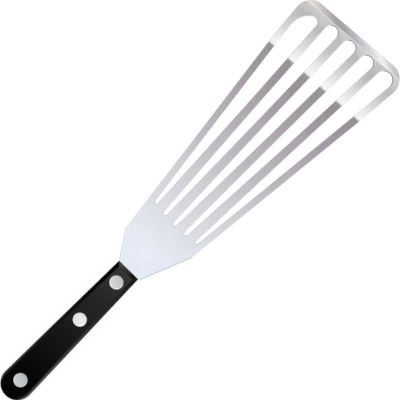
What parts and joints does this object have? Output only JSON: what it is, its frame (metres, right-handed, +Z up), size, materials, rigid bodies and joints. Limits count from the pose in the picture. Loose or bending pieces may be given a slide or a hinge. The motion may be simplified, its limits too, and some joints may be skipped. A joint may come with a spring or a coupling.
{
  "type": "fish spatula",
  "caption": "Slotted fish turner: thin flared steel blade with fanned tines and a bent-up, ground front, its full tang riveted between two chamfered black scales.",
  "frame": {"origin": "centre of the handle's flat underside, on the surface that the spatula lies on", "axes": "+X from the handle to the blade's front edge, +Y to the left looking that way, +Z up"},
  "size_m": [0.2991, 0.0765, 0.014],
  "materials": {
    "blade_steel": "satin",
    "handle_plastic": "satin",
    "rivet_steel": "satin"
  },
  "bodies": {
    "root": {"blade": "blade_steel", "upper_scale": "handle_plastic", "lower_scale": "handle_plastic", "front_sleeve": "rivet_steel", "front_pin": "rivet_steel", "middle_sleeve": "rivet_steel", "middle_pin": "rivet_steel", "rear_sleeve": "rivet_steel", "rear_pin": "rivet_steel"}
  },
  "joints": []
}
